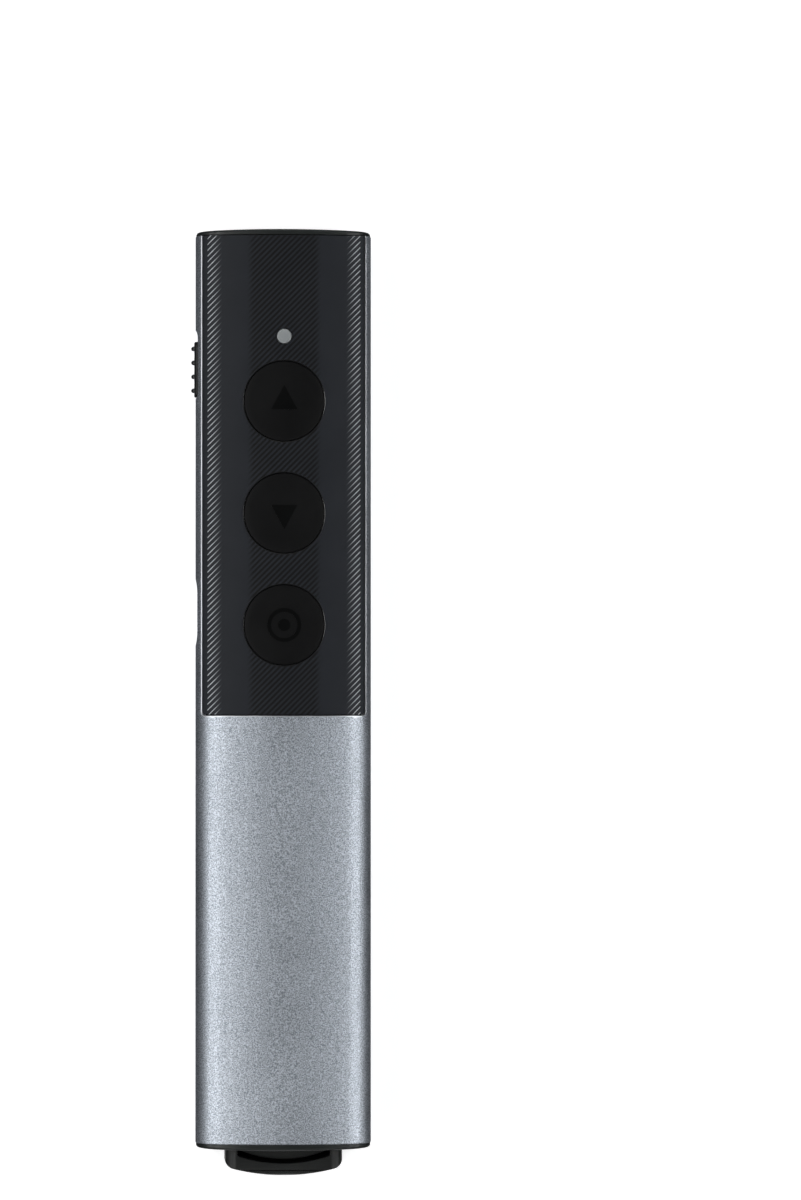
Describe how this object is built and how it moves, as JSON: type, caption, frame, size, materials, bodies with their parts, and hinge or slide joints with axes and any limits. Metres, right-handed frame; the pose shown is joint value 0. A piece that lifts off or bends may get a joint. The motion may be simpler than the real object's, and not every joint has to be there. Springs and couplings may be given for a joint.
{
  "type": "wireless presentation clicker",
  "caption": "Slim handheld slide clicker: aluminium sleeve, black panel with round keys, sliding power switch, charging port, laser window and a docked USB receiver with a pull grip.",
  "frame": {"origin": "on the flat back of the sleeve, half way along the sleeve and half way across it", "axes": "+Z out of the key face, +Y towards the laser end, +X to the right seen from the keys"},
  "size_m": [0.0267, 0.1396, 0.012],
  "materials": {
    "anodised_aluminium": "bead-blasted, clear anodised",
    "panel_black": "moulded black, fine diagonal lines",
    "key_black": "smooth black, moulded symbol",
    "cap_black": "fine spark-eroded black",
    "slider_black": "ribbed black",
    "grip_black": "satin black",
    "indicator_lens": "milky light guide, unlit",
    "clear_window": "clear, faint red",
    "chassis_black": "glass-filled black",
    "board_green": "solder-mask green",
    "switch_black": "black",
    "plunger_white": "off-white",
    "tinned_steel": "tin plated",
    "chip_black": "moulding compound",
    "turned_brass": "turned",
    "gold_contact": "gold flash",
    "pouch_foil": "laminated pouch foil",
    "foam_tape": "foam tape",
    "lead_red": "insulation",
    "magnet_nickel": "nickel plated",
    "screw_steel": "zinc plated",
    "screw_black": "black oxide"
  },
  "bodies": {
    "root": {"sleeve": "anodised_aluminium", "control_panel": "panel_black", "top_cap": "cap_black", "bottom_cap": "cap_black", "light_pipe": "indicator_lens", "laser_window": "clear_window", "laser_lens": "clear_window", "chassis": "chassis_black", "circuit_board": "board_green", "laser_board": "board_green", "tact_switch_up": "switch_black", "tact_switch_down": "switch_black", "tact_switch_laser": "switch_black", "tact_switch_legs": "tinned_steel", "indicator_led": "plunger_white", "radio_chip": "chip_black", "charge_chip": "chip_black", "crystal_can": "tinned_steel", "slide_switch_case": "tinned_steel", "charge_port_shell": "tinned_steel", "charge_port_tongue": "switch_black", "laser_barrel": "turned_brass", "laser_pins": "gold_contact", "battery_cell": "pouch_foil", "battery_tape": "foam_tape", "battery_connector": "plunger_white", "battery_leads": "lead_red", "bay_magnet": "magnet_nickel", "board_screws": "screw_steel", "cap_screws": "screw_black"},
    "up_key": {"key_up": "key_black", "plunger_up": "plunger_white"},
    "down_key": {"key_down": "key_black", "plunger_down": "plunger_white"},
    "laser_key": {"key_laser": "key_black", "plunger_laser": "plunger_white"},
    "slider": {"power_slider": "slider_black", "slide_switch_lever": "switch_black"},
    "receiver": {"receiver_grip": "grip_black", "usb_plug_shell": "tinned_steel", "usb_plug_tongue": "plunger_white", "usb_plug_contacts": "gold_contact", "receiver_board": "board_green"}
  },
  "joints": [
    {"name": "press_up", "type": "slide", "parent": "root", "child": "up_key", "axis": [0, 0, -1], "range_m": [0, 0.00035], "stiffness_N_per_m": 2000, "springref_m": -0.0004},
    {"name": "press_down", "type": "slide", "parent": "root", "child": "down_key", "axis": [0, 0, -1], "range_m": [0, 0.00035], "stiffness_N_per_m": 2000, "springref_m": -0.0004},
    {"name": "press_laser", "type": "slide", "parent": "root", "child": "laser_key", "axis": [0, 0, -1], "range_m": [0, 0.00035], "stiffness_N_per_m": 2000, "springref_m": -0.0004},
    {"name": "power_slide", "type": "slide", "parent": "root", "child": "slider", "axis": [0, 1, 0], "range_m": [0, 0.0015]},
    {"name": "receiver_pull", "type": "slide", "parent": "root", "child": "receiver", "axis": [0, -1, 0], "range_m": [0, 0.019]}
  ]
}
